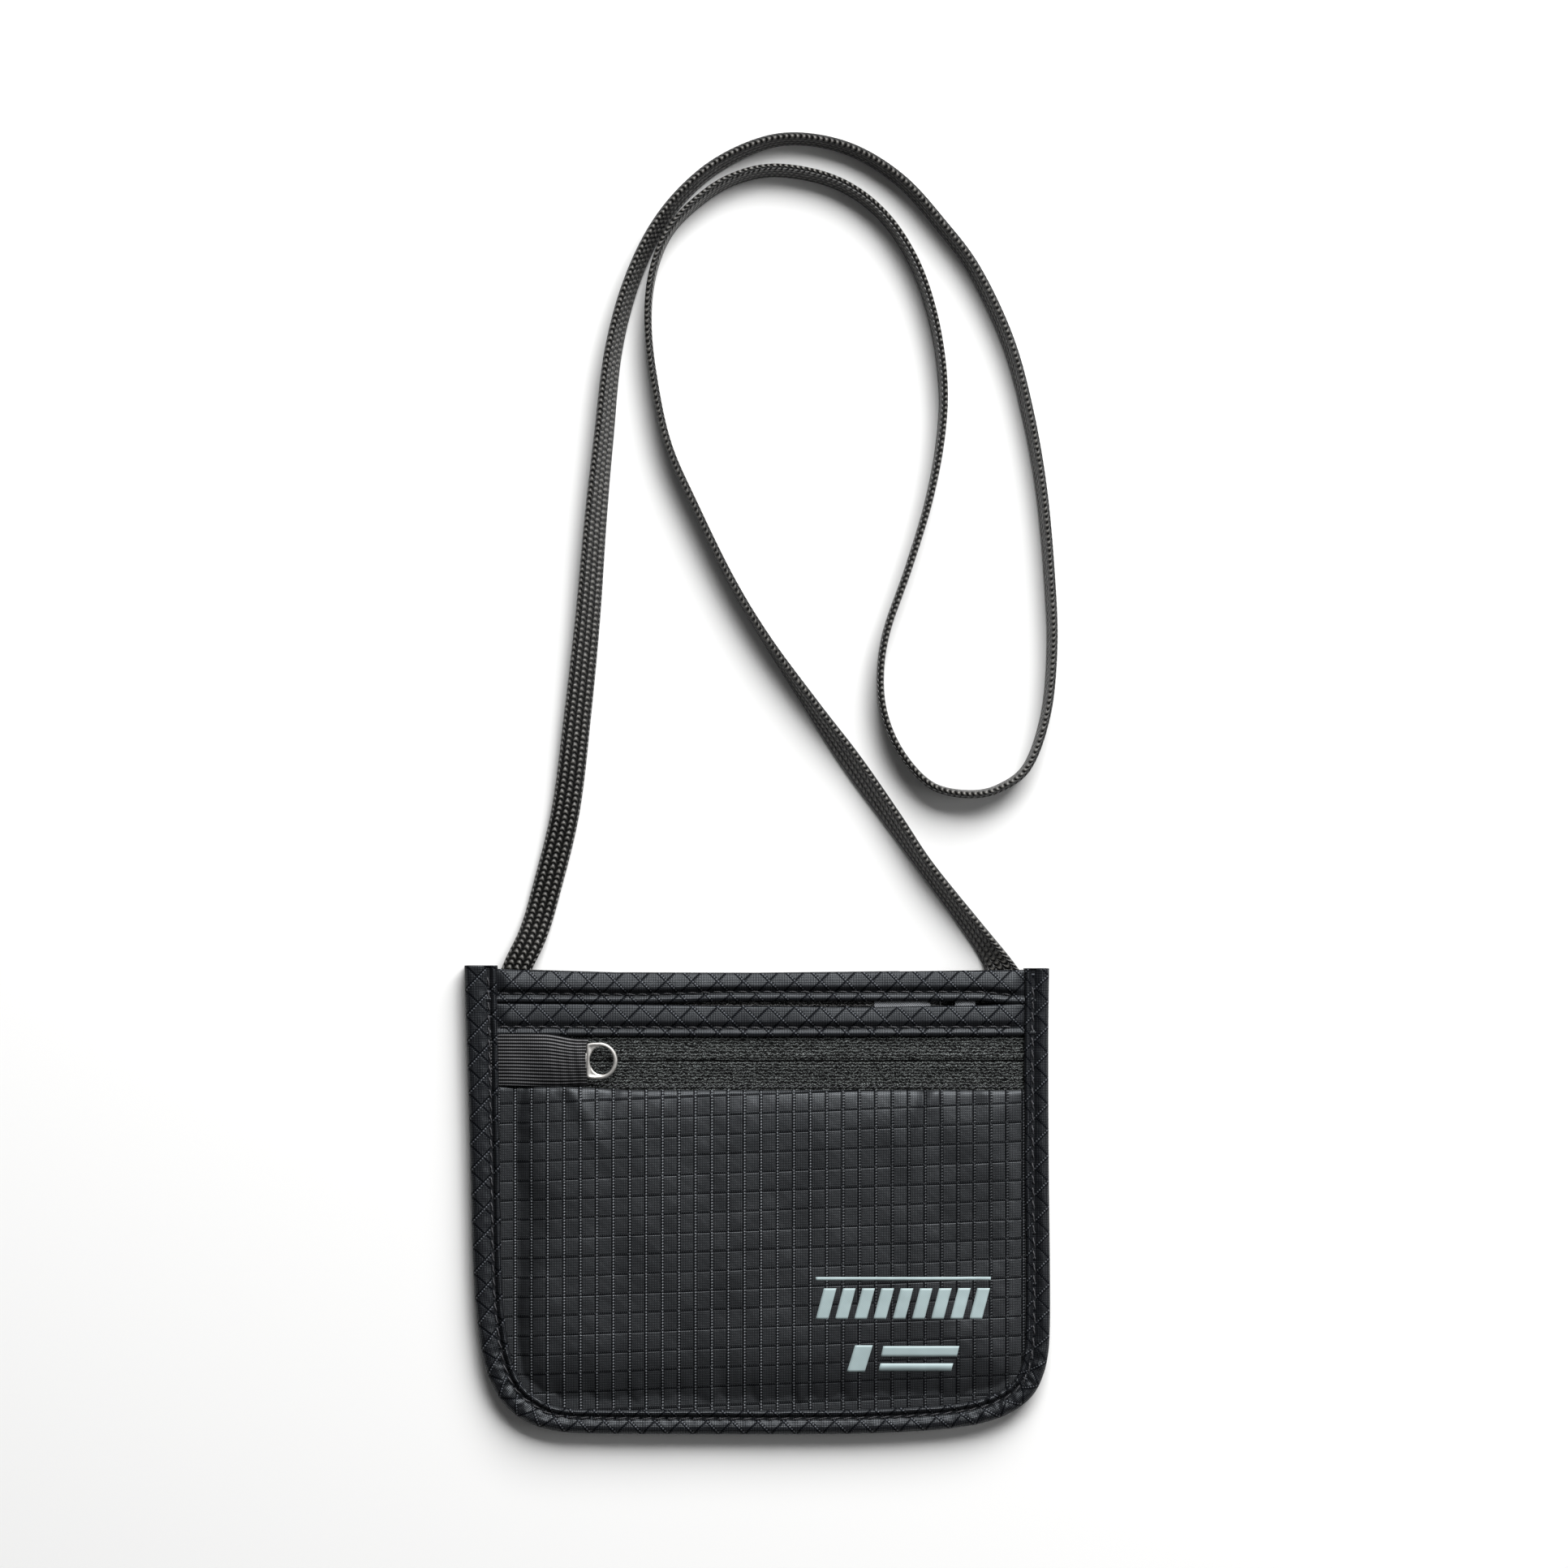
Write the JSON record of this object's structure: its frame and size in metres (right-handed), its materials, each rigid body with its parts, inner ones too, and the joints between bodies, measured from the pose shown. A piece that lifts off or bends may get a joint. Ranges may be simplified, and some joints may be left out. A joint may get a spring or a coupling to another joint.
{
  "type": "neck pouch wallet",
  "caption": "Flat fabric neck wallet with a zipped front pocket, a slip pocket behind it, a bound edge and a braided neck strap.",
  "frame": {"origin": "on the surface that the pouch lies on, under the middle of the pouch without its strap", "axes": "+Z out of the pouch's front, +Y from its bottom to the neck strap, +X to the right as its front is seen"},
  "size_m": [0.1467, 0.3222, 0.007],
  "materials": {
    "ripstop": "satin coated ripstop",
    "binding": "satin bias-cut ripstop",
    "lining": "matt knit",
    "foil": "metallised shielding cloth",
    "tape": "matt knitted zip tape",
    "coil": "nylon monofilament",
    "ribbon": "grosgrain",
    "thread": "polyester thread",
    "label": "satin label tape",
    "braid": "flat tubular braid",
    "painted": "semi-gloss black paint",
    "nickel": "satin nickel plate"
  },
  "bodies": {
    "pouch": {"back_panel": "ripstop", "back_shield_liner": "foil", "slip_pocket_lining": "lining", "divider_panel": "lining", "front_shield_liner": "foil", "front_panel": "ripstop", "top_hem": "binding", "pocket_band": "binding", "inner_label": "label", "edge_binding": "binding", "hem_stitching": "thread", "band_stitching": "thread", "panel_fold_stitching": "thread", "binding_stitching": "thread", "zip_tape_upper": "tape", "zip_tape_lower": "tape", "zip_coil_upper": "coil", "zip_coil_lower": "coil", "zip_top_stop": "painted", "zip_bottom_stop": "painted", "zip_garage": "ribbon", "neck_strap": "braid"},
    "slider": {"slider_body": "painted"},
    "puller": {"pull_ring": "nickel"}
  },
  "joints": [
    {"name": "slider_travel", "type": "slide", "parent": "pouch", "child": "slider", "axis": [1, 0, 0], "range_m": [0, 0.098]},
    {"name": "puller_flip", "type": "hinge", "parent": "slider", "child": "puller", "pos_m": [-0.0431, 0.0345, 0.00605], "axis": [0, -1, 0], "range_deg": [0, 150]}
  ]
}
